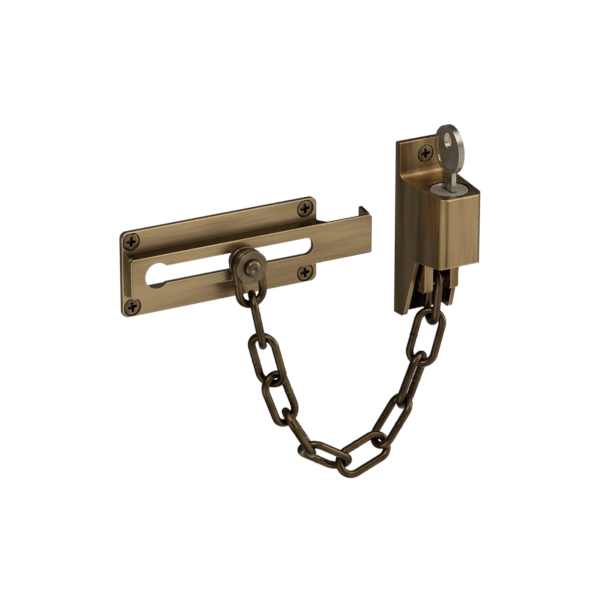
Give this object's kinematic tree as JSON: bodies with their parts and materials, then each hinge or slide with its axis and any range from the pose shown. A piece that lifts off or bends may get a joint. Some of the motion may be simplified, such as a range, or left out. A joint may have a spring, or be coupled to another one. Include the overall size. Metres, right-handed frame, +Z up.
{
  "type": "keyed door chain guard",
  "caption": "Door chain guard: slotted track with keyhole and tongue, chain of oval links on a sliding button, and a keyed lock housing that holds the chain's end.",
  "frame": {"origin": "centre of the track's four mounting screws, in the plane of the door face (y = 0)", "axes": "+X right toward the lock housing, +Z up, -Y out of the door toward the room"},
  "size_m": [0.1457, 0.0327, 0.1457],
  "materials": {
    "antique_brass": "satin brushed antique brass",
    "bronzed_screw": "bronzed steel screw",
    "bronze_button": "darkened bronze",
    "dark_bronze_chain": "dark bronze plated steel wire, rubbed lighter on the bends",
    "nickel": "nickel plated",
    "lock_nickel": "nickel plated, dull",
    "black_steel": "matt black",
    "wafer_brass": "plain brass",
    "zinc_steel": "zinc plated steel"
  },
  "bodies": {
    "base": {"track": "antique_brass", "track_screw_1": "bronzed_screw", "track_screw_2": "bronzed_screw", "track_screw_3": "bronzed_screw", "track_screw_4": "bronzed_screw", "lock_housing": "antique_brass", "tab_screw": "bronzed_screw", "lock_backplate": "black_steel", "backplate_screw_1": "bronzed_screw", "backplate_screw_2": "bronzed_screw", "lock_yoke": "antique_brass", "yoke_pin": "zinc_steel", "cylinder_body": "zinc_steel", "cylinder_clip": "zinc_steel"},
    "slider": {"slider_rivet": "bronze_button", "slider_back_washer": "bronze_button", "slider_sleeve": "bronze_button", "slider_front_washer": "bronze_button"},
    "link_01": {"link_01": "dark_bronze_chain"},
    "link_02": {"link_02": "dark_bronze_chain"},
    "link_03": {"link_03": "dark_bronze_chain"},
    "link_04": {"link_04": "dark_bronze_chain"},
    "link_05": {"link_05": "dark_bronze_chain"},
    "link_06": {"link_06": "dark_bronze_chain"},
    "link_07": {"link_07": "dark_bronze_chain"},
    "link_08": {"link_08": "dark_bronze_chain"},
    "link_09": {"link_09": "dark_bronze_chain"},
    "link_10": {"link_10": "dark_bronze_chain"},
    "link_11": {"link_11": "dark_bronze_chain"},
    "plug": {"cylinder_plug": "lock_nickel", "wafer_1": "wafer_brass", "wafer_2": "wafer_brass", "wafer_3": "wafer_brass", "wafer_4": "wafer_brass", "lock_cam": "zinc_steel", "cam_screw": "zinc_steel"},
    "key": {"key": "nickel"}
  },
  "joints": [
    {"name": "slider_travel", "type": "slide", "parent": "base", "child": "slider", "axis": [1, 0, 0], "range_m": [-0.035, 0.028]},
    {"name": "link_01_swing", "type": "hinge", "parent": "slider", "child": "link_01", "pos_m": [0.0074, -0.0121, -0.0012], "axis": [0, -1, 0], "range_deg": [-17.3, 21.6]},
    {"name": "link_02_swing", "type": "hinge", "parent": "link_01", "child": "link_02", "pos_m": [0.00925, -0.01207, -0.01588], "axis": [0, -1, 0], "range_deg": [-5.2, 4.2]},
    {"name": "link_03_swing", "type": "hinge", "parent": "link_02", "child": "link_03", "pos_m": [0.01337, -0.01192, -0.03403], "axis": [0, -1, 0], "range_deg": [-1.9, 1.6]},
    {"name": "link_04_swing", "type": "hinge", "parent": "link_03", "child": "link_04", "pos_m": [0.01824, -0.0118, -0.052], "axis": [0, -1, 0], "range_deg": [-3.5, 2.9]},
    {"name": "link_05_swing", "type": "hinge", "parent": "link_04", "child": "link_05", "pos_m": [0.02493, -0.01175, -0.06936], "axis": [0, -1, 0], "range_deg": [-3.8, 3]},
    {"name": "link_06_swing", "type": "hinge", "parent": "link_05", "child": "link_06", "pos_m": [0.03459, -0.01107, -0.08542], "axis": [0, -1, 0], "range_deg": [-6.1, 4.9]},
    {"name": "link_07_swing", "type": "hinge", "parent": "link_06", "child": "link_07", "pos_m": [0.05049, -0.01116, -0.09643], "axis": [0, -1, 0], "range_deg": [-4, 3.2]},
    {"name": "link_08_swing", "type": "hinge", "parent": "link_07", "child": "link_08", "pos_m": [0.06815, -0.01138, -0.08981], "axis": [0, -1, 0], "range_deg": [-6.5, 5.2]},
    {"name": "link_09_swing", "type": "hinge", "parent": "link_08", "child": "link_09", "pos_m": [0.07894, -0.01067, -0.07418], "axis": [0, -1, 0], "range_deg": [-6.3, 5.1]},
    {"name": "link_10_swing", "type": "hinge", "parent": "link_09", "child": "link_10", "pos_m": [0.08635, -0.01047, -0.05711], "axis": [0, -1, 0], "range_deg": [-5.2, 4.2]},
    {"name": "link_11_swing", "type": "hinge", "parent": "link_10", "child": "link_11", "pos_m": [0.09181, -0.0101, -0.03964], "axis": [0, -1, 0], "range_deg": [-13.1, 16.3]},
    {"name": "plug_turn", "type": "hinge", "parent": "base", "child": "plug", "pos_m": [0.0919, -0.0216, 0], "axis": [0, 0, 1], "range_deg": [0, 90]},
    {"name": "key_withdraw", "type": "slide", "parent": "plug", "child": "key", "axis": [0, 0, 1], "range_m": [0, 0.03]}
  ],
  "couplings": [
    {"joint": "link_01_swing", "follows": "slider_travel", "rad_per_m": -10.74},
    {"joint": "link_02_swing", "follows": "slider_travel", "rad_per_m": 2.545},
    {"joint": "link_03_swing", "follows": "slider_travel", "rad_per_m": 0.918},
    {"joint": "link_04_swing", "follows": "slider_travel", "rad_per_m": 1.718},
    {"joint": "link_05_swing", "follows": "slider_travel", "rad_per_m": 1.823},
    {"joint": "link_06_swing", "follows": "slider_travel", "rad_per_m": 2.986},
    {"joint": "link_07_swing", "follows": "slider_travel", "rad_per_m": 1.954},
    {"joint": "link_08_swing", "follows": "slider_travel", "rad_per_m": 3.198},
    {"joint": "link_09_swing", "follows": "slider_travel", "rad_per_m": 3.093},
    {"joint": "link_10_swing", "follows": "slider_travel", "rad_per_m": 2.551},
    {"joint": "link_11_swing", "follows": "slider_travel", "rad_per_m": -8.088}
  ]
}
